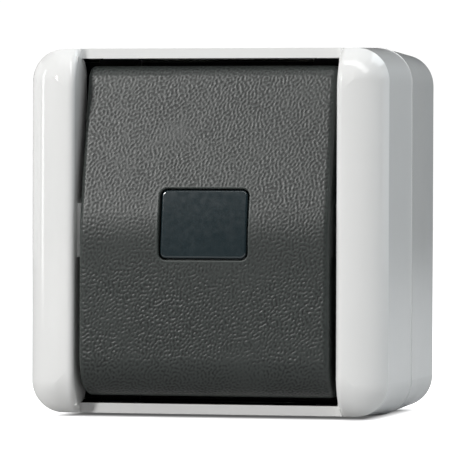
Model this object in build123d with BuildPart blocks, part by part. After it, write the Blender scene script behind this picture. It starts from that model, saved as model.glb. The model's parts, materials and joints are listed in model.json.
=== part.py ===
from build123d import *
from math import tan, radians, sin, cos, sqrt
import os

os.makedirs("parts", exist_ok=True)

# ---------------------------------------------------------------------------
# Surface-mounted splash-proof pushbutton switch.
# Frame: the wall is the plane Y = 0, the front looks along -Y, +X is to the
# right seen from the front and +Z is up.  The origin is the centre of the
# back face.  Sketches on Plane.XZ.offset(u) stand u mm in front of the wall.
# ---------------------------------------------------------------------------

# outline of the housing (the widest line is the seam between its two shells)
seam_half = 37.5          # half width and half height at the seam
seam_corner = 7.2         # corner radius at the seam
back_half = 36.85         # half size at the wall
back_corner = back_half - (seam_half - seam_corner)
seam_u = 27.2             # rear edge of the front cover
groove = 0.8              # open line between the two shells
bead = 0.08               # fine bead along the rear rim of the cover
crest_u = 53.2            # front of the two side bars
edge_half = 36.875        # half size where bar front and side wall meet
edge_u = 48.2
wall_t = 2.0              # cover wall
box_wall = 2.2            # rear box wall
floor_t = 2.4             # rear box floor

# side bars
bar_inner_x = 27.0        # inner wall of each bar
bar_wall = 1.5
bar_round = 9.5           # rounding of the bar's outer edge
bar_over = 1.11           # how far that rounding would run past the side
bar_skirt_u = 42.4        # free lower edge of the bar's inner wall
skirt_end_u = 46.4        # where that edge turns up into the strips, with a radius
skirt_end_z = 34.8
skirt_r = 4.0
boss_u = {-1: 49.9, 1: 48.2}   # front of the bearing bosses, left and right
boss_z = 0.17
strip_u = 46.1            # front of the narrow top and bottom walls

# rocker
rk_half_x = 25.72
rk_top_z = 33.45
rk_bot_z = -33.3
rk_face_u = 53.7          # lower half of the face
rk_bend_z = 1.0           # where the two halves of the face meet
rk_slope = 13.16          # backward lean of the upper half, degrees
rk_bend_r = 32.0
rk_wall = 2.2
rk_skirt_u = 41.0
pivot_u = 45.0
pivot_z = 0.5
pivot_r = 1.25
pivot_clear = 0.05

# window in the rocker
win_w, win_lo, win_hi = 18.4, -5.7, 8.6
win_gap = 0.32
win_r = 1.5               # corner radius of its opening
win_edge = 0.42           # rounded edge of the window
win_tilt = 7.41
win_top_u = 51.76
win_crown = 0.12

# screws and posts
post_x, post_z = 22.5, 30.5
post_r, post_top = 3.2, 30.5
fix_x, fix_z, fix_r = 28.0, 18.0, 2.25     # wall fixing holes
cable_u, cable_r = 13.0, 4.0

# plunger
pl_z = -13.0
travel = 1.42


def cover_half(u):
    """Half size of the drafted cover at a distance u from the wall."""
    return seam_half - (u - seam_u) * (seam_half - edge_half) / (edge_u - seam_u)


def box_half(u):
    """Half size of the drafted rear box at a distance u from the wall."""
    return back_half + u * (seam_half - back_half) / seam_u


# ---------------------------------------------------------------- front cover
corner_c = edge_half - (seam_corner - (seam_half - edge_half))   # corner centre
corner_r = edge_half - corner_c
far = edge_half + bar_over
arc_c = far - bar_round

# rounded pillow that gives the bars their front
with BuildPart() as pillow:
    with BuildSketch(Plane.XY.offset(-45)):
        with BuildLine():
            Line((-far, -20), (far, -20))
            Line((far, -20), (far, -(crest_u - bar_round)))
            CenterArc((arc_c, -(crest_u - bar_round)), bar_round, 0, -90)
            Line((arc_c, -crest_u), (-arc_c, -crest_u))
            CenterArc((-arc_c, -(crest_u - bar_round)), bar_round, 270, -90)
            Line((-far, -(crest_u - bar_round)), (-far, -20))
        make_face()
    extrude(amount=90)
    with BuildSketch(Plane.YZ.offset(-45)):
        with BuildLine():
            Line((-20, -far), (-20, far))
            Line((-20, far), (-(crest_u - bar_round), far))
            CenterArc((-(crest_u - bar_round), arc_c), bar_round, 90, 90)
            Line((-crest_u, arc_c), (-crest_u, -arc_c))
            CenterArc((-(crest_u - bar_round), -arc_c), bar_round, 180, 90)
            Line((-(crest_u - bar_round), -far), (-20, -far))
        make_face()
    extrude(amount=90, mode=Mode.INTERSECT)
    # square corners off, then the turned corners back on
    for sx in (-1, 1):
        for sz in (-1, 1):
            with Locations((sx * (corner_c + 10), -40, sz * (corner_c + 10))):
                Box(20, 60, 20, mode=Mode.SUBTRACT)
    rho = corner_r + bar_over
    drop = bar_round - sqrt(bar_round ** 2 - (rho - bar_round) ** 2)
    for sx, sz, turn in ((1, 1, -90), (1, -1, 90), (-1, 1, 90), (-1, -1, -90)):
        with BuildSketch(Plane(origin=(sx * corner_c, 0, sz * corner_c),
                               x_dir=(sx, 0, 0), z_dir=(0, 0, sx))):
            with BuildLine():
                Line((0, -20), (rho, -20))
                Line((rho, -20), (rho, -(crest_u - bar_round)))
                ThreePointArc((rho, -(crest_u - bar_round)),
                              (rho - bar_round + bar_round * cos(radians(40)),
                               -(crest_u - bar_round) - bar_round * sin(radians(40))),
                              (0, -(crest_u - drop)))
                Line((0, -(crest_u - drop)), (0, -20))
            make_face()
        revolve(axis=Axis((sx * corner_c, 0, sz * corner_c), (0, 1, 0)),
                revolution_arc=turn)
    # the valley between the bars, and the soft inner edge of each bar
    with BuildSketch(Plane.XZ.offset(15)):
        Rectangle(2 * bar_inner_x, 120)
    extrude(amount=60, mode=Mode.SUBTRACT)
    fillet([e for e in pillow.edges()
            if abs(abs(e.center().X) - bar_inner_x) < 1e-3
            and e.center().Y < -21 and e.length > 1], radius=1.3)
    with BuildSketch(Plane.XZ.offset(20)):
        Rectangle(2 * bar_inner_x + 3.2, 2 * far)
    extrude(amount=strip_u - 20)
    # hollow corner where each bar meets the strips
    hc = 1.5
    for s in (-1, 1):
        with BuildSketch(Plane.XY.offset(-far)):
            with BuildLine():
                Line((s * (bar_inner_x - hc), -strip_u), (s * (bar_inner_x - hc), -strip_u + 0.3))
                Line((s * (bar_inner_x - hc), -strip_u + 0.3), (s * (bar_inner_x + 0.3), -strip_u + 0.3))
                Line((s * (bar_inner_x + 0.3), -strip_u + 0.3), (s * (bar_inner_x + 0.3), -strip_u - hc))
                Line((s * (bar_inner_x + 0.3), -strip_u - hc), (s * bar_inner_x, -strip_u - hc))
                ThreePointArc((s * bar_inner_x, -strip_u - hc),
                              (s * (bar_inner_x - hc + hc * cos(radians(45))),
                               -strip_u - hc + hc * sin(radians(45))),
                              (s * (bar_inner_x - hc), -strip_u))
            make_face()
        extrude(amount=2 * far)

with BuildPart() as front_cover:
    top_u = crest_u + 1
    with BuildSketch(Plane.XZ.offset(seam_u)):
        RectangleRounded(2 * seam_half, 2 * seam_half, seam_corner)
    with BuildSketch(Plane.XZ.offset(top_u)):
        RectangleRounded(2 * cover_half(top_u), 2 * cover_half(top_u),
                         seam_corner - (seam_half - cover_half(top_u)))
    loft(ruled=True)
    # fine bead along the seam: a flat band with a bevel in front of it
    for u0, u1, h1 in ((seam_u, seam_u + 0.4, seam_half + bead),
                       (seam_u + 0.4, seam_u + 0.4 + 1.5 * bead, seam_half - 0.04)):
        with BuildSketch(Plane.XZ.offset(u0)):
            RectangleRounded(2 * (seam_half + bead), 2 * (seam_half + bead), seam_corner + bead)
        with BuildSketch(Plane.XZ.offset(u1)):
            RectangleRounded(2 * h1, 2 * h1, seam_corner + h1 - seam_half)
        loft(ruled=True)
    add(pillow.part, mode=Mode.INTERSECT)
    # inside of the shell, up into the hollow bars
    in_lo, in_hi = seam_u - 1, crest_u - 4.5
    with BuildSketch(Plane.XZ.offset(in_lo)):
        RectangleRounded(2 * (cover_half(in_lo) - wall_t), 2 * (cover_half(in_lo) - wall_t),
                         seam_corner - (seam_half - cover_half(in_lo)) - wall_t)
    with BuildSketch(Plane.XZ.offset(in_hi)):
        RectangleRounded(2 * (cover_half(in_hi) - wall_t), 2 * (cover_half(in_hi) - wall_t),
                         seam_corner - (seam_half - cover_half(in_hi)) - wall_t)
    loft(ruled=True, mode=Mode.SUBTRACT)
    # inner wall of each bar, its free edge turned up at both ends
    bow = skirt_r * (1 - cos(radians(45)))
    for s in (-1, 1):
        with BuildSketch(Plane.YZ.offset(s * (bar_inner_x + bar_wall / 2) - bar_wall / 2)):
            with BuildLine():
                Polyline((-skirt_end_u, skirt_end_z), (-skirt_end_u, 35.3), (-50, 35.3),
                         (-50, -35.3), (-skirt_end_u, -35.3), (-skirt_end_u, -skirt_end_z))
                ThreePointArc((-skirt_end_u, -skirt_end_z),
                              (-bar_skirt_u - bow, -skirt_end_z + bow),
                              (-bar_skirt_u, -skirt_end_z + skirt_r))
                Line((-bar_skirt_u, -skirt_end_z + skirt_r), (-bar_skirt_u, skirt_end_z - skirt_r))
                ThreePointArc((-bar_skirt_u, skirt_end_z - skirt_r),
                              (-bar_skirt_u - bow, skirt_end_z - bow),
                              (-skirt_end_u, skirt_end_z))
            make_face()
        extrude(amount=bar_wall)
    # bearing bosses of the rocker, on the inner walls
    for s in (-1, 1):
        with BuildSketch(Plane.XZ.offset(bar_skirt_u)):
            with Locations((s * (bar_inner_x - 0.4), boss_z)):
                Rectangle(0.9, 10.9)
        extrude(amount=boss_u[s] - bar_skirt_u)
    with Locations((0, -pivot_u, pivot_z)):
        Cylinder(pivot_r, 2 * 28.6, rotation=(0, 90, 0), mode=Mode.SUBTRACT)
    # four ears for the cover screws, under the rocker
    with BuildSketch(Plane.XZ.offset(post_top)):
        for sx in (-1, 1):
            for sz in (-1, 1):
                with Locations((sx * post_x, sz * 31.3)):
                    RectangleRounded(8.0, 8.6, 1.0)
    extrude(amount=2.2)
    with BuildSketch(Plane.XZ.offset(post_top)):
        with GridLocations(2 * post_x, 2 * post_z, 2, 2):
            Circle(2.0)
    extrude(amount=2.2, mode=Mode.SUBTRACT)
front_cover.part.label = "front_cover"

# ------------------------------------------------------------------- rear box
box_top = seam_u - groove
with BuildPart() as base_box:
    with BuildSketch(Plane.XZ):
        RectangleRounded(2 * back_half, 2 * back_half, back_corner)
    with BuildSketch(Plane.XZ.offset(box_top)):
        RectangleRounded(2 * box_half(box_top), 2 * box_half(box_top),
                         seam_corner - (seam_half - box_half(box_top)))
    loft(ruled=True)
    chamfer([e for e in base_box.edges() if abs(e.center().Y) < 1e-3], length=0.4)
    with BuildSketch(Plane.XZ.offset(floor_t)):
        RectangleRounded(2 * (box_half(floor_t) - box_wall), 2 * (box_half(floor_t) - box_wall),
                         seam_corner - (seam_half - box_half(floor_t)) - box_wall)
    with BuildSketch(Plane.XZ.offset(seam_u)):
        RectangleRounded(2 * (box_half(seam_u) - box_wall), 2 * (box_half(seam_u) - box_wall),
                         seam_corner - box_wall)
    loft(ruled=True, mode=Mode.SUBTRACT)
    # seat of the seal, inside the rim
    with BuildSketch(Plane.XZ.offset(25.9)):
        RectangleRounded(2 * (seam_half - 1.05), 2 * (seam_half - 1.05), seam_corner - 1.05)
    extrude(amount=3, mode=Mode.SUBTRACT)
    # posts for the cover screws, with a shoulder for the frame of the membrane
    with BuildSketch(Plane.XZ.offset(1)):
        with GridLocations(2 * post_x, 2 * post_z, 2, 2):
            Circle(4.2)
        for sx in (-1, 1):
            for sz in (-1, 1):
                with Locations((sx * post_x, sz * 33.4)):
                    Rectangle(2.0, 4.6)
    extrude(amount=24)
    with BuildSketch(Plane.XZ.offset(20)):
        with GridLocations(2 * post_x, 2 * post_z, 2, 2):
            Circle(4.2)
    extrude(amount=7.7)
    with BuildSketch(Plane.XZ.offset(27)):
        with GridLocations(2 * post_x, 2 * post_z, 2, 2):
            Circle(post_r)
    extrude(amount=post_top - 27)
    with BuildSketch(Plane.XZ.offset(10)):
        with GridLocations(2 * post_x, 2 * post_z, 2, 2):
            Circle(1.35)
    extrude(amount=22, mode=Mode.SUBTRACT)
    # posts for the mounting plate
    with BuildSketch(Plane.XZ.offset(1)):
        with Locations((-29.5, 0), (29.5, 0)):
            Circle(3.2)
    extrude(amount=23)
    with BuildSketch(Plane.XZ.offset(11)):
        with Locations((-29.5, 0), (29.5, 0)):
            Circle(1.2)
    extrude(amount=14, mode=Mode.SUBTRACT)
    # wall fixing holes with a collar inside
    with BuildSketch(Plane.XZ.offset(1)):
        with GridLocations(2 * fix_x, 2 * fix_z, 2, 2):
            Circle(4.6)
    extrude(amount=2.6)
    with BuildSketch(Plane.XZ.offset(-1)):
        with GridLocations(2 * fix_x, 2 * fix_z, 2, 2):
            Circle(fix_r)
    extrude(amount=6, mode=Mode.SUBTRACT)
    # round cable entries at top and bottom, with a sunk seat outside
    for s in (-1, 1):
        with Locations((0, -cable_u, s * 36.5)):
            Cylinder(7.0, 8, mode=Mode.SUBTRACT)
        with Locations((0, -cable_u, s * 38.1)):
            Cylinder(8.6, 4, mode=Mode.SUBTRACT)
    # drain hole
    with Locations((13, -6, -36)):
        Cylinder(2.0, 6, mode=Mode.SUBTRACT)
base_box.part.label = "base_box"

with BuildPart() as housing_gasket:
    with BuildSketch(Plane.XZ.offset(25.9)):
        RectangleRounded(2 * 36.4, 2 * 36.4, 6.1)
        RectangleRounded(2 * 35.4, 2 * 35.4, 5.1, mode=Mode.SUBTRACT)
    extrude(amount=seam_u - 25.9)
housing_gasket.part.label = "housing_gasket"

with BuildPart() as cover_screws:
    with BuildSketch(Plane.XZ.offset(12)):
        with GridLocations(2 * post_x, 2 * post_z, 2, 2):
            Circle(1.3)
    extrude(amount=20.7)
    with BuildSketch(Plane.XZ.offset(32.7)):
        with GridLocations(2 * post_x, 2 * post_z, 2, 2):
            Circle(3.1)
    extrude(amount=2.0)
    fillet([e for e in cover_screws.edges().filter_by(GeomType.CIRCLE)
            if abs(e.center().Y + 34.7) < 1e-3], radius=0.7)
    with BuildSketch(Plane.XZ.offset(33.8)):
        with GridLocations(2 * post_x, 2 * post_z, 2, 2):
            Rectangle(3.6, 0.8)
            Rectangle(0.8, 3.6)
    extrude(amount=2, mode=Mode.SUBTRACT)
cover_screws.part.label = "cover_screws"

with BuildPart() as cable_grommet:
    with BuildSketch(Plane(origin=(0, -cable_u, 0), x_dir=(1, 0, 0), z_dir=(0, -1, 0))):
        with BuildLine():
            Polyline((cable_r, 33.5), (8.0, 33.5), (8.3, 33.8), (8.3, 34.7), (6.9, 34.7),
                     (6.9, 36.1), (8.3, 36.1), (8.3, 36.6), (8.05, 36.85), (5.2, 36.85),
                     (cable_r, 36.5), close=True)
        make_face()
    revolve(axis=Axis((0, -cable_u, 0), (0, 0, 1)), revolution_arc=360)
cable_grommet.part.label = "cable_grommet"

with BuildPart() as cable_plug:
    with BuildSketch(Plane(origin=(0, -cable_u, 0), x_dir=(1, 0, 0), z_dir=(0, -1, 0))):
        with BuildLine():
            Polyline((0, -33.9), (5.6, -33.9), (6.0, -33.5), (8.0, -33.5), (8.3, -33.8),
                     (8.3, -34.7), (6.9, -34.7), (6.9, -36.1), (8.3, -36.1), (8.3, -36.6),
                     (8.05, -36.85), (5.4, -36.85), (4.8, -36.2), (0, -36.2), close=True)
        make_face()
    revolve(axis=Axis((0, -cable_u, 0), (0, 0, 1)), revolution_arc=360)
cable_plug.part.label = "cable_plug"

with BuildPart() as drain_plug:
    with Locations((13, -6, -35.6)):
        Cylinder(1.95, 2.4)
    with Locations((13, -6, -34.1)):
        Cylinder(3.0, 1.0)
drain_plug.part.label = "drain_plug"

# ------------------------------------------- membrane under the rocker
with BuildPart() as membrane_frame:
    with BuildSketch(Plane.XZ.offset(27.7)):
        RectangleRounded(69, 69, 4.5)
        with Locations((0, -0.25)):
            RectangleRounded(43.2, 40.7, 1.5, mode=Mode.SUBTRACT)
        with GridLocations(2 * post_x, 2 * post_z, 2, 2):
            Circle(3.35, mode=Mode.SUBTRACT)
    extrude(amount=1.3)
membrane_frame.part.label = "membrane_frame"

with BuildPart() as sealing_membrane:
    with BuildSketch(Plane.XZ.offset(29.0)):
        RectangleRounded(69.2, 69.2, 4.6)
        with GridLocations(2 * post_x, 2 * post_z, 2, 2):
            Circle(3.35, mode=Mode.SUBTRACT)
        with Locations((0, pl_z)):
            Circle(5.0, mode=Mode.SUBTRACT)
    extrude(amount=1.5)
    # raised bead that meets the free edge of the opening
    with BuildSketch(Plane.XZ.offset(30.5)):
        RectangleRounded(52.4, 50.4, 2.0)
        RectangleRounded(50.4, 48.4, 1.0, mode=Mode.SUBTRACT)
    extrude(amount=1.2)
sealing_membrane.part.label = "sealing_membrane"

# -------------------------------------------------------------- mechanism
rivet_at = [(-17, 15.5), (17, 15.5), (-17, -2.5), (17, -2.5)]
with BuildPart() as mounting_plate:
    with BuildSketch(Plane.XZ.offset(24)):
        with Locations((0, -0.5)):
            RectangleRounded(44, 39, 2)
        RectangleRounded(66, 13, 3)
        with Locations((0, -2.25)):
            RectangleRounded(26, 31.5, 1, mode=Mode.SUBTRACT)
        with Locations((-29.5, 0), (29.5, 0)):
            Circle(1.7, mode=Mode.SUBTRACT)
        with Locations(*rivet_at):
            Circle(1.25, mode=Mode.SUBTRACT)
    extrude(amount=1.5)
mounting_plate.part.label = "mounting_plate"

with BuildPart() as plate_screws:
    with BuildSketch(Plane.XZ.offset(14)):
        with Locations((-29.5, 0), (29.5, 0)):
            Circle(1.15)
    extrude(amount=11.5)
    with BuildSketch(Plane.XZ.offset(25.5)):
        with Locations((-29.5, 0), (29.5, 0)):
            Circle(2.8)
    extrude(amount=1.9)
    with BuildSketch(Plane.XZ.offset(26.5)):
        with Locations((-29.5, 0), (29.5, 0)):
            Rectangle(0.8, 6)
    extrude(amount=2, mode=Mode.SUBTRACT)
plate_screws.part.label = "plate_screws"

# the insulating base: a floor plate and the walls that stand on it
split_u = 10.9
with BuildPart() as mechanism_base:
    with BuildSketch(Plane.XZ.offset(8)):
        RectangleRounded(40, 38, 1.5)
        with Locations((-16, -12), (16, -12)):
            Rectangle(6, 10, mode=Mode.SUBTRACT)
    extrude(amount=split_u - 8)
mechanism_base.part.label = "mechanism_base"

with BuildPart() as mechanism_walls:
    with BuildSketch(Plane.XZ.offset(split_u)):
        RectangleRounded(40, 38, 1.5)
        with Locations((0, -10.25)):
            Rectangle(24, 14.5, mode=Mode.SUBTRACT)
        with Locations((0, 8)):
            Rectangle(24, 16, mode=Mode.SUBTRACT)
    extrude(amount=24 - split_u)
    with BuildSketch(Plane.XZ.offset(split_u - 1)):
        with Locations((-16, -12), (16, -12)):
            Rectangle(6, 10)
    extrude(amount=11.1, mode=Mode.SUBTRACT)
    with BuildSketch(Plane.XZ.offset(split_u)):
        with Locations((-12.5, pl_z), (12.5, pl_z)):
            Rectangle(1.4, 4.2)
    extrude(amount=0.9, mode=Mode.SUBTRACT)
    with Locations((-19.5, -14, -12), (19.5, -14, -12)):
        Cylinder(2.7, 2, rotation=(0, 90, 0), mode=Mode.SUBTRACT)
    with BuildSketch(Plane.XZ.offset(13)):
        with Locations(*rivet_at):
            Circle(1.25)
    extrude(amount=12, mode=Mode.SUBTRACT)
mechanism_walls.part.label = "mechanism_walls"

with BuildPart() as mechanism_cover:
    with BuildSketch(Plane.XZ.offset(25.5)):
        with Locations((0, -0.25)):
            RectangleRounded(42, 39.5, 1.5)
        with Locations((0, pl_z)):
            Circle(2.35, mode=Mode.SUBTRACT)
        with Locations(*rivet_at):
            Circle(1.25, mode=Mode.SUBTRACT)
    extrude(amount=2.7)
    chamfer([e for e in mechanism_cover.edges() if abs(e.center().Y + 28.2) < 1e-3
             and max(abs(e.center().X), abs(e.center().Z)) > 18.8], length=0.6)
mechanism_cover.part.label = "mechanism_cover"

with BuildPart() as mechanism_rivets:
    with BuildSketch(Plane.XZ.offset(13)):
        with Locations(*rivet_at):
            Circle(1.2)
    extrude(amount=15.2)
    with BuildSketch(Plane.XZ.offset(28.2)):
        with Locations(*rivet_at):
            Circle(2.1)
    extrude(amount=0.6)
mechanism_rivets.part.label = "mechanism_rivets"

with BuildPart() as fixed_contacts:
    with BuildSketch(Plane.XZ.offset(10.9)):
        with Locations((-9.4, pl_z), (9.4, pl_z)):
            Rectangle(7.8, 4.0)
    extrude(amount=0.8)
fixed_contacts.part.label = "fixed_contacts"

with BuildPart() as fixed_contact_tips:
    with BuildSketch(Plane.XZ.offset(11.7)):
        with Locations((-8, pl_z), (8, pl_z)):
            Circle(1.4)
    extrude(amount=0.6, taper=8)
fixed_contact_tips.part.label = "fixed_contact_tips"

with BuildPart() as terminal_clamps:
    with BuildSketch(Plane.XZ.offset(9)):
        with Locations((-16.05, -12), (16.05, -12)):
            Rectangle(5.5, 8.8)
        for s in (-1, 1):
            with Locations((s * 15.6, -14.8), (s * 15.6, -9.2)):
                Circle(1.1, mode=Mode.SUBTRACT)
    extrude(amount=10)
    with Locations((-17.5, -14, -12), (17.5, -14, -12)):
        Cylinder(1.45, 3.0, rotation=(0, 90, 0), mode=Mode.SUBTRACT)
terminal_clamps.part.label = "terminal_clamps"

with BuildPart() as terminal_screws:
    for s in (-1, 1):
        with Locations((s * 17.45, -14, -12)):
            Cylinder(1.4, 2.7, rotation=(0, 90, 0))
        with Locations((s * 19.55, -14, -12)):
            Cylinder(2.4, 1.5, rotation=(0, 90, 0))
        with Locations((s * 20.2, -14, -12)):
            Box(1.0, 5, 0.8, mode=Mode.SUBTRACT)
terminal_screws.part.label = "terminal_screws"

with BuildPart() as earth_terminal:
    with BuildSketch(Plane.XZ.offset(floor_t)):
        with Locations((0, -27)):
            RectangleRounded(9, 7, 0.5)
    extrude(amount=7.6)
    with Locations((0, -5.2, -27)):
        Cylinder(1.6, 12, rotation=(0, 90, 0), mode=Mode.SUBTRACT)
    with BuildSketch(Plane.XZ.offset(5.2)):
        with Locations((0, -27)):
            Circle(1.5)
    extrude(amount=6, mode=Mode.SUBTRACT)
earth_terminal.part.label = "earth_terminal"

with BuildPart() as earth_screw:
    with BuildSketch(Plane.XZ.offset(6.9)):
        with Locations((0, -27)):
            Circle(1.45)
    extrude(amount=3.1)
    with BuildSketch(Plane.XZ.offset(10)):
        with Locations((0, -27)):
            Circle(2.7)
    extrude(amount=1.7)
    with BuildSketch(Plane.XZ.offset(11)):
        with Locations((0, -27)):
            Rectangle(6, 0.8)
    extrude(amount=1, mode=Mode.SUBTRACT)
earth_screw.part.label = "earth_screw"

# ---------------------------------------------- plunger and moving contact
pl_plane = Plane(origin=(0, 0, pl_z), x_dir=(1, 0, 0), z_dir=(0, 0, 1))
pl_axis = Axis((0, 0, pl_z), (0, 1, 0))
with BuildPart() as plunger:
    with BuildSketch(pl_plane):
        with BuildLine():
            Polyline((0, -13.6), (2.4, -13.6), (2.4, -14.4), (1.5, -14.4), (1.5, -20),
                     (4.0, -20), (4.0, -25.3), (2.2, -25.3), (2.2, -34.5), (4.0, -34.5),
                     (4.0, -35.9), (3.5, -36.4), (0, -36.4), close=True)
        make_face()
    revolve(axis=pl_axis, revolution_arc=360)
plunger.part.label = "plunger"

with BuildPart() as contact_bridge:
    with BuildSketch(Plane.XZ.offset(14.4)):
        with Locations((0, pl_z)):
            RectangleRounded(20, 4.8, 1.2)
            Circle(1.7, mode=Mode.SUBTRACT)
    extrude(amount=0.8)
contact_bridge.part.label = "contact_bridge"

with BuildPart() as bridge_contact_tips:
    with BuildSketch(Plane.XZ.offset(13.8)):
        with Locations((-8, pl_z), (8, pl_z)):
            Circle(1.4)
    extrude(amount=0.6)
bridge_contact_tips.part.label = "bridge_contact_tips"

with BuildPart() as contact_spring:
    with BuildLine():
        coil_a = Helix(pitch=0.95, height=4.2, radius=2.6,
                       center=(0, -15.5, pl_z), direction=(0, -1, 0))
    with BuildSketch(Plane(origin=coil_a @ 0, z_dir=coil_a % 0)):
        Circle(0.22)
    sweep(path=coil_a, is_frenet=True)
contact_spring.part.label = "contact_spring"

with BuildPart() as return_spring:
    with BuildLine():
        coil_b = Helix(pitch=0.7, height=2.1, radius=2.0,
                       center=(0, -11.2, pl_z), direction=(0, -1, 0))
    with BuildSketch(Plane(origin=coil_b @ 0, z_dir=coil_b % 0)):
        Circle(0.2)
    sweep(path=coil_b, is_frenet=True)
return_spring.part.label = "return_spring"

with BuildPart() as plunger_boot:
    with BuildSketch(pl_plane):
        with BuildLine():
            Polyline((0, -36.6), (4.3, -36.6), (4.5, -36.0), (5.0, -32.0), (5.0, -30.5),
                     (6.6, -30.5), (6.4, -31.2), (6.0, -31.5), (5.9, -33.0), (5.3, -37.0),
                     (4.6, -37.6), (0, -37.6), close=True)
        make_face()
    revolve(axis=pl_axis, revolution_arc=360)
plunger_boot.part.label = "plunger_boot"

# --------------------------------------------------------------- rocker
tan_s = tan(radians(rk_slope))
cos_s = cos(radians(rk_slope))


def face_u(z):
    """Distance of the upper half of the rocker's face from the wall."""
    return rk_face_u - tan_s * (z - rk_bend_z)


in_bend_z = rk_bend_z - rk_wall * (1 / cos_s - 1) / tan_s
with BuildPart() as rocker:
    with BuildSketch(Plane.YZ.offset(-rk_half_x)):
        with BuildLine():
            FilletPolyline((-rk_skirt_u, rk_bot_z), (-rk_face_u, rk_bot_z),
                           (-rk_face_u, rk_bend_z), (-face_u(rk_top_z), rk_top_z),
                           (-rk_skirt_u, rk_top_z), radius=[8.0, rk_bend_r, 3.0])
            Line((-rk_skirt_u, rk_top_z), (-rk_skirt_u, rk_bot_z))
        make_face()
    extrude(amount=2 * rk_half_x)
    fillet([e for e in rocker.edges()
            if abs(abs(e.center().X) - rk_half_x) < 1e-3
            and e.center().Y < -(rk_skirt_u + 0.1)], radius=1.1)
    in_x = rk_half_x - rk_wall
    with BuildSketch(Plane.YZ.offset(-in_x)):
        with BuildLine():
            FilletPolyline((-rk_skirt_u + 1, rk_bot_z + rk_wall),
                           (-rk_face_u + rk_wall, rk_bot_z + rk_wall),
                           (-rk_face_u + rk_wall, in_bend_z),
                           (-face_u(rk_top_z - rk_wall) + rk_wall / cos_s, rk_top_z - rk_wall),
                           (-rk_skirt_u + 1, rk_top_z - rk_wall),
                           radius=[5.8, rk_bend_r - rk_wall, 0.8])
            Line((-rk_skirt_u + 1, rk_top_z - rk_wall), (-rk_skirt_u + 1, rk_bot_z + rk_wall))
        make_face()
    extrude(amount=2 * in_x, mode=Mode.SUBTRACT)
    # stiffening ribs along the inside
    for s in (-1, 1):
        with BuildSketch(Plane.YZ.offset(s * 14 - 0.6)):
            with BuildLine():
                Polyline((-46, -31.5), (-49.5, -31.5), (-52.2, -27), (-52.2, 2),
                         (-45.6, 30), (-44, 30), (-44, 20), (-46, 8), close=True)
            make_face()
        extrude(amount=1.2)
    # finger that presses the plunger
    with BuildSketch(Plane.YZ.offset(-3)):
        with BuildLine():
            Polyline((-52.2, pl_z - 1.5), (-39.2, pl_z - 1.5), (-39.2, pl_z + 1.5),
                     (-52.2, pl_z + 1.5), close=True)
        make_face()
    extrude(amount=6)
    with Locations((0, -39.2, pl_z)):
        Cylinder(1.5, 6, rotation=(0, 90, 0))
    # bearing holes
    with Locations((0, -pivot_u, pivot_z)):
        Cylinder(pivot_r + pivot_clear, 2 * rk_half_x + 2, rotation=(0, 90, 0),
                 mode=Mode.SUBTRACT)
    # window
    with BuildSketch(Plane.XZ.offset(47)):
        with Locations((0, (win_lo + win_hi) / 2)):
            RectangleRounded(win_w, win_hi - win_lo, win_r)
    extrude(amount=10, mode=Mode.SUBTRACT)
rocker.part.label = "rocker"

tan_w = tan(radians(win_tilt))
lz0, lz1 = win_lo + win_gap, win_hi - win_gap


def lens_u(z):
    """Distance of the window's face from the wall, before its slight crown."""
    return win_top_u + tan_w * (win_hi - z)


def flange_u(z):
    """Front of the flange that bears against the inside of the rocker."""
    return 51.4 - 0.1275 * (z + 7.2)


zm = (lz0 + lz1) / 2
with BuildPart() as window_lens:
    with BuildSketch(Plane.YZ.offset(-12)):
        with BuildLine():
            ThreePointArc((-lens_u(lz0), lz0), (-(lens_u(zm) + win_crown), zm), (-lens_u(lz1), lz1))
            Polyline((-lens_u(lz1), lz1), (-flange_u(lz1) + 0.5, lz1),
                     (-flange_u(lz0) + 0.5, lz0), (-lens_u(lz0), lz0))
        make_face()
    extrude(amount=24)
    with BuildSketch(Plane.XZ.offset(40)):
        with Locations((0, zm)):
            RectangleRounded(win_w - 2 * win_gap, lz1 - lz0, win_r - win_gap)
    extrude(amount=20, mode=Mode.INTERSECT)
    fillet(window_lens.faces().sort_by(Axis.Y)[0].edges(), radius=win_edge)
    with BuildSketch(Plane.YZ.offset(-10.6)):
        with BuildLine():
            Polyline((-flange_u(-7.2), -7.2), (-flange_u(10.1), 10.1),
                     (-flange_u(10.1) + 1.05, 10.1), (-flange_u(-7.2) + 1.05, -7.2), close=True)
        make_face()
    extrude(amount=21.2)
window_lens.part.label = "window_lens"

with BuildPart() as pivot_pins:
    for s in (-1, 1):
        with Locations((s * 26.3, -pivot_u, pivot_z)):
            Cylinder(pivot_r, 4.2, rotation=(0, 90, 0))
pivot_pins.part.label = "pivot_pins"

# ------------------------------------------------------------------ output
for piece in (base_box, housing_gasket, front_cover, cover_screws, cable_grommet, cable_plug,
              drain_plug, membrane_frame, sealing_membrane, mounting_plate, plate_screws,
              mechanism_base, mechanism_walls, mechanism_cover, mechanism_rivets, fixed_contacts,
              fixed_contact_tips, terminal_clamps, terminal_screws, earth_terminal, earth_screw,
              pivot_pins, plunger, contact_bridge, bridge_contact_tips, contact_spring,
              return_spring, plunger_boot, rocker, window_lens):
    export_step(piece.part, "parts/" + piece.part.label + ".step")
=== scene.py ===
import bpy
import bmesh
import json
import math
import numpy as np
from mathutils import Matrix, Vector


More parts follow.
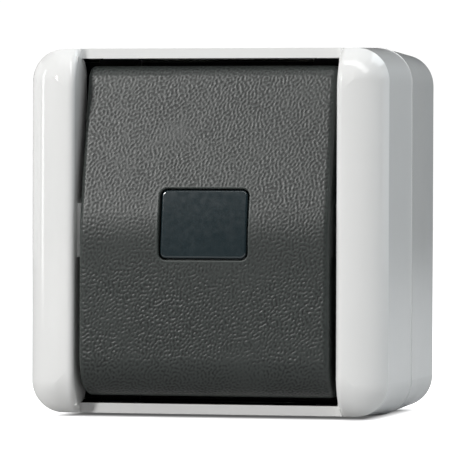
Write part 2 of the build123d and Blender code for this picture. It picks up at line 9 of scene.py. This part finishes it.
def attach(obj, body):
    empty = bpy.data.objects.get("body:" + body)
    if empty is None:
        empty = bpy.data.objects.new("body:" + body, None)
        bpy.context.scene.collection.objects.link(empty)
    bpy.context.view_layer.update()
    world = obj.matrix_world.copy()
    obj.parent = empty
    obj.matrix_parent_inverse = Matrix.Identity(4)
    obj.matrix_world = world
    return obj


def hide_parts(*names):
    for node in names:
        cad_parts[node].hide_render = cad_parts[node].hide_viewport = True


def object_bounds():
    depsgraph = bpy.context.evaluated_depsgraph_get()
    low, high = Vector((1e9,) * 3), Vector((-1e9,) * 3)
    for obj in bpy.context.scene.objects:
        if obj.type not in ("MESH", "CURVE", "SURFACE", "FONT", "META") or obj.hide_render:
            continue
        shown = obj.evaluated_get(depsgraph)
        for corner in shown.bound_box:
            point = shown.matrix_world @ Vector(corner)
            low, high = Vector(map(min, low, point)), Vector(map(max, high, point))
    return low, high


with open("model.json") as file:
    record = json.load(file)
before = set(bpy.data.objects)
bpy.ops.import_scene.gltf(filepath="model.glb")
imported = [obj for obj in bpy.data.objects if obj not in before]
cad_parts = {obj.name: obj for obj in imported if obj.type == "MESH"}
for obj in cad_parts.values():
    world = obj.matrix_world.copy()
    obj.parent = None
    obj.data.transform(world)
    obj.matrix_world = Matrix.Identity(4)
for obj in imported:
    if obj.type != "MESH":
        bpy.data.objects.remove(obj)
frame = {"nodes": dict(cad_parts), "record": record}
cad_lo, cad_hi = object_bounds()
nodes = frame["nodes"]
scene = bpy.context.scene
MM = 0.001

# ------------------------------------------------------------------ sizes
# Rocker, in millimetres, u = distance from the wall, as in the construction.
RK_HALF_X, RK_TOP, RK_BOT = 25.72, 33.45, -33.3
RK_FACE, RK_BEND, RK_SLOPE, RK_SKIRT = 53.7, 1.0, math.radians(13.16), 41.0
R_BOT, R_BEND, R_TOP, R_SIDE = 8.0, 32.0, 3.0, 1.1
WIN_HALF_W, WIN_LO, WIN_HI, WIN_R = 9.2, -5.7, 8.6, 1.5
RIM = 0.30                    # rounding of the window's opening


# ------------------------------------------------------------ node helpers
def material(name):
    m = bpy.data.materials.new(name)
    m.use_nodes = True
    nt = m.node_tree
    bsdf = next(n for n in nt.nodes if n.type == "BSDF_PRINCIPLED")
    return m, nt, bsdf


def node(nt, kind, **values):
    n = nt.nodes.new(kind)
    for k, v in values.items():
        if k in n.inputs:
            n.inputs[k].default_value = v
        else:
            setattr(n, k, v)
    return n


def coords(nt, scale=(1000.0, 1000.0, 1000.0), rotation=(0.0, 0.0, 0.0)):
    """Object coordinates in millimetres."""
    tc = nt.nodes.new("ShaderNodeTexCoord")
    mp = nt.nodes.new("ShaderNodeMapping")
    mp.inputs["Scale"].default_value = scale
    mp.inputs["Rotation"].default_value = rotation
    nt.links.new(tc.outputs["Object"], mp.inputs["Vector"])
    return mp.outputs["Vector"]


def ramp(nt, fac, stops):
    r = nt.nodes.new("ShaderNodeValToRGB")
    e = r.color_ramp.elements
    while len(e) < len(stops):
        e.new(0.5)
    for i, (p, c) in enumerate(stops):
        e[i].position = p
        e[i].color = (c[0], c[1], c[2], 1.0)
    nt.links.new(fac, r.inputs["Fac"])
    return r.outputs["Color"]


def span(nt, value, lo, hi, frm=(0.0, 1.0)):
    n = nt.nodes.new("ShaderNodeMapRange")
    n.inputs["From Min"].default_value = frm[0]
    n.inputs["From Max"].default_value = frm[1]
    n.inputs["To Min"].default_value = lo
    n.inputs["To Max"].default_value = hi
    nt.links.new(value, n.inputs["Value"])
    return n.outputs["Result"]


def noise(nt, vec, scale, detail=2.0, rough=0.5):
    n = nt.nodes.new("ShaderNodeTexNoise")
    n.inputs["Scale"].default_value = scale
    n.inputs["Detail"].default_value = detail
    n.inputs["Roughness"].default_value = rough
    nt.links.new(vec, n.inputs["Vector"])
    return n.outputs["Fac"]


def bump(nt, height, strength, distance, normal=None):
    b = nt.nodes.new("ShaderNodeBump")
    b.inputs["Strength"].default_value = strength
    b.inputs["Distance"].default_value = distance
    nt.links.new(height, b.inputs["Height"])
    if normal is not None:
        nt.links.new(normal, b.inputs["Normal"])
    return b.outputs["Normal"]


def plastic(name, lo, hi, rough, spread=0.04, ior=1.5, waviness=0.02, grain=0.0, coat=0.0):
    """Moulded plastic: faint clouding of the colour, uneven gloss, flow waves."""
    m, nt, b = material(name)
    v = coords(nt)
    cloud = noise(nt, v, 0.045, 3.0, 0.55)
    nt.links.new(ramp(nt, cloud, [(0.35, lo), (0.65, hi)]), b.inputs["Base Color"])
    gloss = noise(nt, v, 0.35, 3.0, 0.6)
    nt.links.new(span(nt, gloss, rough - spread, rough + spread, (0.3, 0.7)), b.inputs["Roughness"])
    b.inputs["IOR"].default_value = ior
    n = None
    if waviness > 0:
        n = bump(nt, noise(nt, v, 0.12, 1.0, 0.4), waviness, 0.001)
    if grain > 0:
        n = bump(nt, noise(nt, v, 9.0, 2.0, 0.6), grain, 0.00002, n)
    if n is not None:
        nt.links.new(n, b.inputs["Normal"])
    if coat > 0:
        b.inputs["Coat Weight"].default_value = coat
        b.inputs["Coat Roughness"].default_value = 0.05
    return m


def metal(name, lo, hi, rough, stretch=(200.0, 200.0, 4000.0), scratch=0.15):
    """Worked metal: drawn or rolled streaks, patchy sheen."""
    m, nt, b = material(name)
    b.inputs["Metallic"].default_value = 1.0
    v = coords(nt)
    s = coords(nt, stretch)
    patch = noise(nt, v, 0.5, 4.0, 0.6)
    nt.links.new(ramp(nt, patch, [(0.3, lo), (0.7, hi)]), b.inputs["Base Color"])
    streak = noise(nt, s, 1.2, 3.0, 0.6)
    nt.links.new(span(nt, streak, rough - 0.08, rough + 0.1, (0.3, 0.7)), b.inputs["Roughness"])
    nt.links.new(bump(nt, streak, scratch, 0.00003), b.inputs["Normal"])
    return m


def rubber(name, lo, hi, rough=0.62):
    m, nt, b = material(name)
    v = coords(nt)
    nt.links.new(ramp(nt, noise(nt, v, 0.4, 4.0, 0.6), [(0.3, lo), (0.7, hi)]), b.inputs["Base Color"])
    nt.links.new(span(nt, noise(nt, v, 2.0, 3.0, 0.6), rough - 0.07, rough + 0.07, (0.3, 0.7)),
                 b.inputs["Roughness"])
    nt.links.new(bump(nt, noise(nt, v, 5.0, 3.0, 0.6), 0.25, 0.00004), b.inputs["Normal"])
    return m


# ------------------------------------------------------------- materials
housing_mat = plastic("housing_plastic", (0.785, 0.790, 0.782), (0.805, 0.808, 0.800), 0.10,
                      spread=0.02, waviness=0.012, grain=0.03)
seal_mat = rubber("black_seal", (0.012, 0.012, 0.012), (0.022, 0.022, 0.021))
grommet_mat = rubber("grey_grommet", (0.27, 0.28, 0.28), (0.33, 0.335, 0.33), 0.55)
black_mat = plastic("black_plastic", (0.016, 0.016, 0.016), (0.024, 0.024, 0.024), 0.45, grain=0.2)
cream_mat = plastic("cream_plastic", (0.50, 0.47, 0.40), (0.56, 0.53, 0.46), 0.42, grain=0.15)
white_mat = plastic("white_plastic", (0.66, 0.65, 0.60), (0.72, 0.71, 0.66), 0.38, grain=0.1)
plate_mat = metal("zinc_plate", (0.50, 0.51, 0.53), (0.62, 0.63, 0.64), 0.34)
steel_mat = metal("plated_steel", (0.52, 0.53, 0.54), (0.62, 0.62, 0.62), 0.28)
spring_mat = metal("spring_steel", (0.40, 0.40, 0.42), (0.52, 0.52, 0.53), 0.25, (2000, 2000, 2000))
brass_mat = metal("bare_brass", (0.60, 0.43, 0.17), (0.72, 0.54, 0.24), 0.27)
silver_mat = metal("contact_silver", (0.72, 0.72, 0.70), (0.85, 0.85, 0.83), 0.22, (900, 900, 900))

# rocker: dark plastic, grained by its mesh, with painted shade darkening the pits; a fine second grain and
# patchy sheen
rocker_mat, nt, b = material("rocker_plastic")
v = coords(nt)
pit = nt.nodes.new("ShaderNodeAttribute")
pit.attribute_name = "pit"
cloud = noise(nt, v, 0.06, 3.0, 0.5)
base = ramp(nt, cloud, [(0.35, (0.0312, 0.0380, 0.0352)), (0.65, (0.0356, 0.0430, 0.0398))])
# painted shade: the base colour is multiplied down to 0.08 in the deepest pits of the grain
pit_shade_mix = nt.nodes.new("ShaderNodeMix")
pit_shade_mix.data_type = "RGBA"
pit_shade_mix.blend_type = "MULTIPLY"
nt.links.new(base, pit_shade_mix.inputs["A"])
nt.links.new(ramp(nt, pit.outputs["Fac"], [(0.0, (1.0, 1.0, 1.0)), (1.0, (0.08, 0.08, 0.08))]),
             pit_shade_mix.inputs["B"])
pit_shade_mix.inputs["Factor"].default_value = 1.0
nt.links.new(pit_shade_mix.outputs["Result"], b.inputs["Base Color"])
# smooth lands, dull pits
dull = nt.nodes.new("ShaderNodeMath")
dull.operation = "ADD"
nt.links.new(span(nt, noise(nt, v, 1.3, 3.0, 0.6), 0.36, 0.44, (0.3, 0.7)), dull.inputs[0])
nt.links.new(span(nt, pit.outputs["Fac"], 0.0, 0.10), dull.inputs[1])
nt.links.new(dull.outputs[0], b.inputs["Roughness"])
b.inputs["IOR"].default_value = 1.53
nt.links.new(bump(nt, noise(nt, v, 4.5, 3.0, 0.65), 0.35, 0.00004), b.inputs["Normal"])

# window: smooth, dark, slightly blue
lens_mat, nt, b = material("window_plastic")
v = coords(nt)
nt.links.new(ramp(nt, noise(nt, v, 0.10, 3.0, 0.5),
                  [(0.3, (0.0105, 0.0205, 0.0245)), (0.7, (0.0125, 0.0230, 0.0275))]), b.inputs["Base Color"])
nt.links.new(span(nt, noise(nt, v, 0.8, 3.0, 0.6), 0.21, 0.27, (0.3, 0.7)), b.inputs["Roughness"])
b.inputs["IOR"].default_value = 1.49
b.inputs["Coat Weight"].default_value = 1.0
b.inputs["Coat Roughness"].default_value = 0.07
nt.links.new(bump(nt, noise(nt, v, 0.25, 2.0, 0.5), 0.02, 0.001), b.inputs["Normal"])

BY_SLOT = {
    "housing": housing_mat, "rocker_plastic": rocker_mat, "lens": lens_mat, "seal": seal_mat,
    "grommet": grommet_mat, "black_plastic": black_mat, "insulator": cream_mat,
    "white_plastic": white_mat, "zinc_plate": plate_mat, "steel": steel_mat,
    "spring_steel": spring_mat, "brass": brass_mat, "silver": silver_mat,
}
for part in frame["record"]["subparts"]:
    o = nodes[part["node"]]
    for slot in o.material_slots:
        slot.material = BY_SLOT[part["material_slot"]]


# ------------------------------------------------------- grained rocker
def profile(step, coarse):
    """Outer profile of the rocker from its lower skirt edge over the face to the
    upper one: points (u, z), outward normals, in millimetres. The plain skirts
    take the coarse step."""
    ts = math.tan(RK_SLOPE)
    corners = [(RK_SKIRT, RK_BOT), (RK_FACE, RK_BOT), (RK_FACE, RK_BEND),
               (RK_FACE - ts * (RK_TOP - RK_BEND), RK_TOP), (RK_SKIRT, RK_TOP)]
    radii = [0, R_BOT, R_BEND, R_TOP, 0]
    pts, nor = [], []
    cur = np.array(corners[0], float)
    d0 = None
    for i in range(1, 5):
        a, c = np.array(corners[i - 1], float), np.array(corners[i], float)
        d = (c - a) / np.linalg.norm(c - a)
        end = c
        arc = None
        if radii[i]:
            e = np.array(corners[i + 1], float)
            d2 = (e - c) / np.linalg.norm(e - c)
            turn = math.acos(float(np.clip(d @ d2, -1, 1)))
            t = radii[i] * math.tan(turn / 2)
            end = c - d * t
            arc = (d, d2, turn, radii[i])
        n = np.array([d[1], -d[0]])            # outward: right of the direction
        length = np.linalg.norm(end - cur)
        k = max(1, int(round(length / (coarse if i in (1, 4) else step))))
        for j in range(k):
            pts.append(cur + (end - cur) * j / k)
            nor.append(n)
        if arc:
            d, d2, turn, r = arc
            centre = end - n * r
            k = max(6, int(round(turn * r / step)))
            for j in range(k):
                w = turn * j / k
                m = n * math.cos(w) + d * math.sin(w)
                pts.append(centre + m * r)
                nor.append(m)
            cur = centre + (n * math.cos(turn) + d * math.sin(turn)) * r
        else:
            cur = end
    pts.append(cur)
    nor.append(n)
    return np.array(pts), np.array(nor)


def leather(width, height, cell, seed):
    """Worm-like leather grain on a grid of that size in millimetres: 0 on the
    lands, 1 in the deepest pits."""
    rng = np.random.default_rng(seed)
    nx, ny = int(width / cell), int(height / cell)
    white = rng.standard_normal((ny, nx))
    fy = np.fft.fftfreq(ny, cell)[:, None]
    fx = np.fft.rfftfreq(nx, cell)[None, :]
    # longer along a diagonal that rises to the right
    a = math.radians(56)
    fa = fx * math.cos(a) + fy * math.sin(a)
    fb = -fx * math.sin(a) + fy * math.cos(a)
    f = np.sqrt((fa / 1.08) ** 2 + (fb / 1.50) ** 2)
    band = np.exp(-((f - 1.0) / 0.36) ** 2)
    h = np.fft.irfft2(np.fft.rfft2(white) * band, s=(ny, nx))
    h /= h.std()
    slow = np.fft.irfft2(np.fft.rfft2(rng.standard_normal((ny, nx))) * np.exp(-(fx ** 2 + fy ** 2) / 0.10 ** 2),
                         s=(ny, nx))
    slow /= slow.std()
    h = h * (1.0 + 0.22 * slow)
    p = 1.0 / (1.0 + np.exp(-(h - 0.40) * 2.8))
    return p


def rounded_rect(x, z, half_w, lo, hi, r):
    """Signed distance to the opening's outline (negative inside) and the outward
    direction at the nearest point."""
    cz, hz = (lo + hi) / 2, (hi - lo) / 2
    qx, qz = np.abs(x) - (half_w - r), np.abs(z - cz) - (hz - r)
    mx, mz = np.maximum(qx, 0), np.maximum(qz, 0)
    out = np.hypot(mx, mz)
    d = out + np.minimum(np.maximum(qx, qz), 0) - r
    gx = np.where(out > 1e-9, mx / np.maximum(out, 1e-9), (qx > qz).astype(float))
    gz = np.where(out > 1e-9, mz / np.maximum(out, 1e-9), (qx <= qz).astype(float))
    return d, gx * np.sign(x), gz * np.sign(z - cz)


def build_rocker():
    cell = 0.197
    pts, nor = profile(cell, 0.8)
    arc = np.concatenate([[0], np.cumsum(np.linalg.norm(np.diff(pts, axis=0), axis=1))])
    flat = RK_HALF_X - R_SIDE
    k = int(round(2 * flat / cell))
    xs = list(np.linspace(-flat, flat, k + 1))
    turn = [math.radians(w) for w in (11.25, 22.5, 33.75, 45, 56.25, 67.5, 78.75, 90)]
    cols = [(-flat - R_SIDE * math.sin(w), R_SIDE * (1 - math.cos(w)), w) for w in reversed(turn)]
    cols += [(x, 0.0, 0.0) for x in xs]
    cols += [(flat + R_SIDE * math.sin(w), R_SIDE * (1 - math.cos(w)), w) for w in turn]
    X = np.array([c[0] for c in cols])
    inset = np.array([c[1] for c in cols])
    tilt = np.array([c[2] for c in cols])
    ny, nx = len(pts), len(X)
    XX = np.tile(X, (ny, 1))
    ZZ = pts[:, 1][:, None] - nor[:, 1][:, None] * inset[None, :]
    # the opening: draw the nearest points onto its outline, widened by the rim
    front = (nor[:, 0] > 0.5)[:, None] & np.ones((1, nx), bool)
    d, gx, gz = rounded_rect(XX, ZZ, WIN_HALF_W + RIM, WIN_LO - RIM, WIN_HI + RIM, WIN_R + RIM)
    near = front & (np.abs(d) < 0.56 * cell)
    dz = np.where(near, -d * gz, 0.0)
    XX = XX + np.where(near, -d * gx, 0.0)
    # a step along the face moves z by less than the arc on the leaning half
    S = arc[:, None] + dz / np.maximum(np.abs(nor[:, 0]), 0.2)[:, None]
    U = np.interp(S, arc, pts[:, 0])
    Z = np.interp(S, arc, pts[:, 1])
    NU = np.interp(S, arc, nor[:, 0])
    NZ = np.interp(S, arc, nor[:, 1])
    keep = ~(front & (d < -0.56 * cell))
    # relief: full on the face, fading out over the side roundings, the skirt
    # edges and the rim of the opening
    gw, gh = 60.0, float(arc[-1]) + 4.0
    g = leather(gw, gh, 0.10, 7)
    gi = np.clip((XX + gw / 2) / 0.10, 0, g.shape[1] - 2)
    gj = np.clip((S + 1.0) / 0.10, 0, g.shape[0] - 2)
    i0, j0 = gi.astype(int), gj.astype(int)
    fi, fj = gi - i0, gj - j0
    pitv = ((g[j0, i0] * (1 - fi) + g[j0, i0 + 1] * fi) * (1 - fj)
            + (g[j0 + 1, i0] * (1 - fi) + g[j0 + 1, i0 + 1] * fi) * fj)
    smooth = lambda t: np.clip(t, 0, 1) ** 2 * (3 - 2 * np.clip(t, 0, 1))
    d2, _, _ = rounded_rect(XX, Z, WIN_HALF_W + RIM, WIN_LO - RIM, WIN_HI + RIM, WIN_R + RIM)
    fade = smooth((RK_HALF_X - 0.12 - np.abs(XX)) / 0.8)
    fade = fade * np.where(front, smooth(d2 / 0.35), 1.0)
    fade = fade * smooth((S - 5.0) / 4.0) * smooth((arc[-1] - S - 2.4) / 1.6)
    pitv = pitv * fade
    depth = (0.064 + 0.062 * np.clip((38.0 - S) / 8.0, 0.0, 1.0)) * pitv
    off = inset[None, :] + depth
    P = np.stack([XX, -(U - NU * off), Z - NZ * off], axis=-1)
    me = bpy.data.meshes.new("rocker_cap")
    bm = bmesh.new()
    layer = bm.verts.layers.float.new("pit")
    grid = {}

    def vert(j, i):
        if (j, i) not in grid:
            w = bm.verts.new(P[j, i] * MM)
            w[layer] = float(pitv[j, i])
            grid[(j, i)] = w
        return grid[(j, i)]

    inside = front & (d <= 0.56 * cell) & (d >= -0.56 * cell)
    for j in range(ny - 1):
        for i in range(nx - 1):
            q = [(j, i), (j, i + 1), (j + 1, i + 1), (j + 1, i)]
            ok = [keep[a] for a in q]
            if all(ok):
                if all(inside[a] for a in q):
                    continue
                bm.faces.new([vert(*a) for a in q])
            elif sum(ok) == 3 and not all(inside[a] for a, k2 in zip(q, ok) if k2):
                bm.faces.new([vert(*a) for a, k2 in zip(q, ok) if k2])
    # rim of the opening: the boundary loop is rolled over into the hole
    loop = [e for e in bm.edges if e.is_boundary
            and all(abs(w.co.x) < (WIN_HALF_W + 2) * MM and abs(w.co.z - 1.5 * MM) < 10 * MM
                    and w.co.y < -0.045 for w in e.verts)]
    rim = set(w for e in loop for w in e.verts)
    prev = {w: w for w in rim}
    start = {w: w.co.copy() for w in rim}
    for a in (15, 30, 45, 60, 75, 90):
        s, c = math.sin(math.radians(a)), math.cos(math.radians(a))
        new = {}
        for w in rim:
            p = start[w]
            _, ox, oz = rounded_rect(np.array(p.x / MM), np.array(p.z / MM),
                                     WIN_HALF_W + RIM, WIN_LO - RIM, WIN_HI + RIM, WIN_R + RIM)
            q = bm.verts.new((p.x - float(ox) * RIM * s * MM, p.y + RIM * (1 - c) * MM,
                              p.z - float(oz) * RIM * s * MM))
            new[w] = q
        for e in loop:
            v0, v1 = e.verts
            bm.faces.new([prev[v0], prev[v1], new[v1], new[v0]])
        prev = new
    # straight wall of the opening, down past the window's edge
    last = {}
    for w in rim:
        q = prev[w]
        last[w] = bm.verts.new((q.co.x, q.co.y + 2.0 * MM, q.co.z))
    for e in loop:
        v0, v1 = e.verts
        bm.faces.new([prev[v0], prev[v1], last[v1], last[v0]])
    bmesh.ops.recalc_face_normals(bm, faces=bm.faces)
    front_face = max(bm.faces, key=lambda f: -f.calc_center_median().y)
    if front_face.normal.y > 0:
        bmesh.ops.reverse_faces(bm, faces=bm.faces)
    # the rest of the shell comes from the construction: sides, skirt, inside
    src = bmesh.new()
    src.from_mesh(nodes["rocker"].data)
    bmesh.ops.remove_doubles(src, verts=src.verts, dist=1e-7)
    seg = pts
    drop = []
    for f in src.faces:
        c = f.calc_center_median()
        x, u, z = c.x / MM, -c.y / MM, c.z / MM
        if abs(x) > RK_HALF_X - 0.02 and abs(f.normal.x) > 0.999:
            continue
        dist = np.hypot(seg[:, 0] - u, seg[:, 1] - z)
        i = int(dist.argmin())
        depth_in = (pts[i] - np.array([u, z])) @ nor[i]
        ax = max(0.0, abs(x) - flat)
        want = R_SIDE - math.sqrt(max(0.0, R_SIDE ** 2 - min(ax, R_SIDE) ** 2))
        n3 = Vector((0, -nor[i][0], nor[i][1]))
        facing = f.normal.dot(n3)
        if ax > 0:
            facing = f.normal.dot((n3 * (R_SIDE - want) + Vector((math.copysign(ax, x), 0, 0))).normalized())
        if abs(depth_in - want) < 0.12 and facing > 0.9 and u > RK_SKIRT + 0.02:
            drop.append(f)
        elif abs(depth_in - want) < 0.12 and facing > 0.9 and ax == 0.0:
            drop.append(f)
    bmesh.ops.delete(src, geom=drop, context="FACES")
    # the opening's wall in the construction stands 0 mm inside the new rim: leave it
    wall = [f for f in src.faces
            if abs(f.normal.y) < 0.05 and f.calc_center_median().y < -0.0505
            and abs(rounded_rect(np.array(f.calc_center_median().x / MM),
                                 np.array(f.calc_center_median().z / MM),
                                 WIN_HALF_W, WIN_LO, WIN_HI, WIN_R)[0]) < 0.08]
    bmesh.ops.delete(src, geom=wall, context="FACES")
    tmp = bpy.data.meshes.new("rest")
    src.to_mesh(tmp)
    src.free()
    n_cap = len(bm.faces)
    bm.from_mesh(tmp)
    bpy.data.meshes.remove(tmp)
    bm.to_mesh(me)
    bm.free()
    me.materials.append(rocker_mat)
    me.polygons.foreach_set("use_smooth", [True] * len(me.polygons))
    me.set_sharp_from_angle(angle=math.radians(32))
    o = bpy.data.objects.new("rocker_grained", me)
    scene.collection.objects.link(o)
    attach(o, "rocker")
    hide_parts("rocker")
    print("rocker: cap faces", n_cap, "all", len(me.polygons), "dropped", len(drop), len(wall))
    return o


rocker = build_rocker()


def ear_shade_pads():
    """Black pads on the ends of the cover's four ears, seen through the
    gaps above and below the rocker: painted shade, a dark sheet where the gaps are dark only with shadow."""
    me = bpy.data.meshes.new("ear_shade_pads")
    bm = bmesh.new()
    for sx in (-1, 1):
        for sz in (-1, 1):
            m = Matrix.Translation(Vector((sx * 22.5, -33.1, sz * 34.2)) * MM) @ \
                Matrix.Diagonal(Vector((8.6, 0.7, 1.9, 1000.0)) * MM)
            bmesh.ops.create_cube(bm, size=1.0, matrix=m)
    bmesh.ops.bevel(bm, geom=list(bm.edges), offset=0.15 * MM, segments=2, affect="EDGES")
    bm.to_mesh(me)
    bm.free()
    me.materials.append(seal_mat)
    o = bpy.data.objects.new("ear_shade_pads", me)
    scene.collection.objects.link(o)
    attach(o, "housing")
    return o


ear_shade_pads()

# ------------------------------------------------------------------ stage
FLOOR_PAINTED_SHADOW, FLOOR_FAR = 0.10, 1.05
ground_z = cad_lo.z
floor_me = bpy.data.meshes.new("floor")
fb = bmesh.new()
bmesh.ops.create_circle(fb, cap_ends=True, segments=96, radius=4.0)
fb.to_mesh(floor_me)
fb.free()
floor = bpy.data.objects.new("floor", floor_me)
floor.location = (0, 0, ground_z - 0.0001)
scene.collection.objects.link(floor)
floor_mat, nt, b = material("floor_paper")
v = coords(nt)
nt.links.new(ramp(nt, noise(nt, v, 0.01, 3.0, 0.5), [(0.3, (0.55, 0.55, 0.55)), (0.7, (0.58, 0.58, 0.58))]),
             b.inputs["Base Color"])
b.inputs["Roughness"].default_value = 0.9
b.inputs["Specular IOR Level"].default_value = 0.0
# the camera sees the sheet glow: dim right beside the object as a painted contact shadow, plain white past a
# few
# # millimetres; the distance is taken from the object's square outline
b.inputs["Emission Color"].default_value = (1, 1, 1, 1)
parts = nt.nodes.new("ShaderNodeSeparateXYZ")
nt.links.new(v, parts.inputs[0])


def past(value, middle, half):
    """How far the value lies outside middle +- half, else 0."""
    last = value
    for op, k in (("SUBTRACT", middle), ("ABSOLUTE", None), ("SUBTRACT", half), ("MAXIMUM", 0.0)):
        n = nt.nodes.new("ShaderNodeMath")
        n.operation = op
        nt.links.new(last, n.inputs[0])
        if k is not None:
            n.inputs[1].default_value = k
        last = n.outputs[0]
    return last


pair = nt.nodes.new("ShaderNodeCombineXYZ")
nt.links.new(past(parts.outputs["X"], 0.0, 30.0), pair.inputs[0])
nt.links.new(past(parts.outputs["Y"], -22.0, 17.5), pair.inputs[1])
away = nt.nodes.new("ShaderNodeVectorMath")
away.operation = "LENGTH"
wide = nt.nodes.new("ShaderNodeVectorMath")
wide.operation = "MULTIPLY"
wide.inputs[1].default_value = (3.0, 1.0, 1.0)
nt.links.new(pair.outputs[0], wide.inputs[0])
nt.links.new(wide.outputs[0], away.inputs[0])
glow = span(nt, away.outputs["Value"], FLOOR_PAINTED_SHADOW, FLOOR_FAR, (0.0, 13.0))
lp = nt.nodes.new("ShaderNodeLightPath")
only = nt.nodes.new("ShaderNodeMath")
only.operation = "MULTIPLY"
nt.links.new(glow, only.inputs[0])
nt.links.new(lp.outputs["Is Camera Ray"], only.inputs[1])
nt.links.new(only.outputs[0], b.inputs["Emission Strength"])
floor_me.materials.append(floor_mat)

# -------------------------------------------------------------- lights
world = bpy.data.worlds.new("studio")
scene.world = world
world.use_nodes = True
nt = world.node_tree
nt.nodes.clear()
out = nt.nodes.new("ShaderNodeOutputWorld")
lp = nt.nodes.new("ShaderNodeLightPath")
seen = nt.nodes.new("ShaderNodeBackground")
seen.inputs["Color"].default_value = (1, 1, 1, 1)
seen.inputs["Strength"].default_value = 1.05
lit = nt.nodes.new("ShaderNodeBackground")
lit.inputs["Color"].default_value = (0.93, 0.97, 1.0, 1)
lit.inputs["Strength"].default_value = 0.01
pick = nt.nodes.new("ShaderNodeMixShader")
nt.links.new(lp.outputs["Is Camera Ray"], pick.inputs["Fac"])
nt.links.new(lit.outputs[0], pick.inputs[1])
nt.links.new(seen.outputs[0], pick.inputs[2])
nt.links.new(pick.outputs[0], out.inputs["Surface"])


def softbox(name, azimuth, elevation, distance, width, height, watts, color=(1, 1, 1), aim=(0, -0.045, 0)):
    """Area lamp aimed at the object. Azimuth 0 is in front, positive to the right."""
    a, e = math.radians(azimuth), math.radians(elevation)
    back = Vector((math.sin(a) * math.cos(e), -math.cos(a) * math.cos(e), math.sin(e)))
    L = bpy.data.lights.new(name, "AREA")
    L.shape = "RECTANGLE"
    L.size, L.size_y = width, height
    L.energy = watts
    L.color = color
    o = bpy.data.objects.new(name, L)
    o.location = Vector(aim) + back * distance
    o.rotation_mode = "QUATERNION"
    o.rotation_quaternion = (-back).to_track_quat("-Z", "Y")
    scene.collection.objects.link(o)
    return o


def beam(name, a, b, distance, thick, watts, color=(1, 1, 1), aim=(0, -0.045, 0)):
    """Long lamp whose ends are seen from the object in the directions a and b."""
    ends = []
    for az, el in (a, b):
        az, el = math.radians(az), math.radians(el)
        ends.append(Vector((math.sin(az) * math.cos(el), -math.cos(az) * math.cos(el), math.sin(el))))
    mid = (ends[0] + ends[1]).normalized()
    along = (ends[1] - ends[0])
    span_len = along.length * distance
    x = (along - mid * along.dot(mid)).normalized()
    L = bpy.data.lights.new(name, "AREA")
    L.shape = "RECTANGLE"
    L.size, L.size_y = span_len, thick
    L.energy = watts
    L.color = color
    o = bpy.data.objects.new(name, L)
    y = mid.cross(x)
    o.matrix_world = Matrix.Translation(Vector(aim) + mid * distance * (ends[0] + ends[1]).length / 2) @ \
        Matrix((x, y, mid)).transposed().to_4x4()
    scene.collection.objects.link(o)
    return o


softbox("key", -31, 27, 1.5, 0.18, 0.18, 13.8, (1.0, 0.99, 0.98))
beam("arch", (-34, 68), (50, 31), 1.5, 0.32, 7.0)
softbox("left_strip", -83, 0, 1.4, 0.17, 1.6, 4.0)
softbox("left_back", -112, 5, 1.9, 1.3, 1.6, 6.0)
softbox("right_side", 105, 5, 1.9, 0.9, 1.6, 5.7, (0.92, 0.97, 1.0))
softbox("right_top", 115, 50, 1.7, 1.0, 0.8, 9.2, (0.88, 0.95, 1.0))
softbox("right_back", 150, 8, 1.9, 1.4, 1.6, 0.75, (0.88, 0.95, 1.0))
softbox("overhead", 0, 88, 1.6, 1.2, 1.2, 3.0)
softbox("back_top", 180, 55, 2.0, 2.4, 1.2, 5.6)

# -------------------------------------------------------------- camera
THETA, ELEV, ROLL = math.radians(13.530), math.radians(0.564), math.radians(0.207)
DIST, FOCAL_PX, PX, PY = 0.9073, 4530.67, 203.188, 231.739
right = Vector((math.cos(THETA), math.sin(THETA), 0))
fwd = Vector((-math.sin(THETA) * math.cos(ELEV), math.cos(THETA) * math.cos(ELEV), -math.sin(ELEV)))
up = right.cross(fwd)
place = Vector((0, -0.0532, 0)) - fwd * DIST
r2 = right * math.cos(ROLL) + up * math.sin(ROLL)
u2 = up * math.cos(ROLL) - right * math.sin(ROLL)
# the optical axis is turned to the middle of the frame, so no shift is needed
ray = (fwd * FOCAL_PX + r2 * (235 - PX) - u2 * (235 - PY)).normalized()
r3 = (r2 - ray * r2.dot(ray)).normalized()
u3 = r3.cross(ray)
cam_data = bpy.data.cameras.new("camera")
cam_data.sensor_width = 36.0
cam_data.lens = FOCAL_PX / 470.0 * 36.0
cam_data.clip_start, cam_data.clip_end = 0.05, 50.0
cam = bpy.data.objects.new("camera", cam_data)
rot = Matrix((r3, u3, -ray)).transposed()
cam.matrix_world = Matrix.Translation(place) @ rot.to_4x4()
scene.collection.objects.link(cam)
scene.camera = cam

scene.view_settings.view_transform = "Standard"
scene.view_settings.look = "None"
scene.view_settings.exposure = 0.0
scene.view_settings.gamma = 1.0
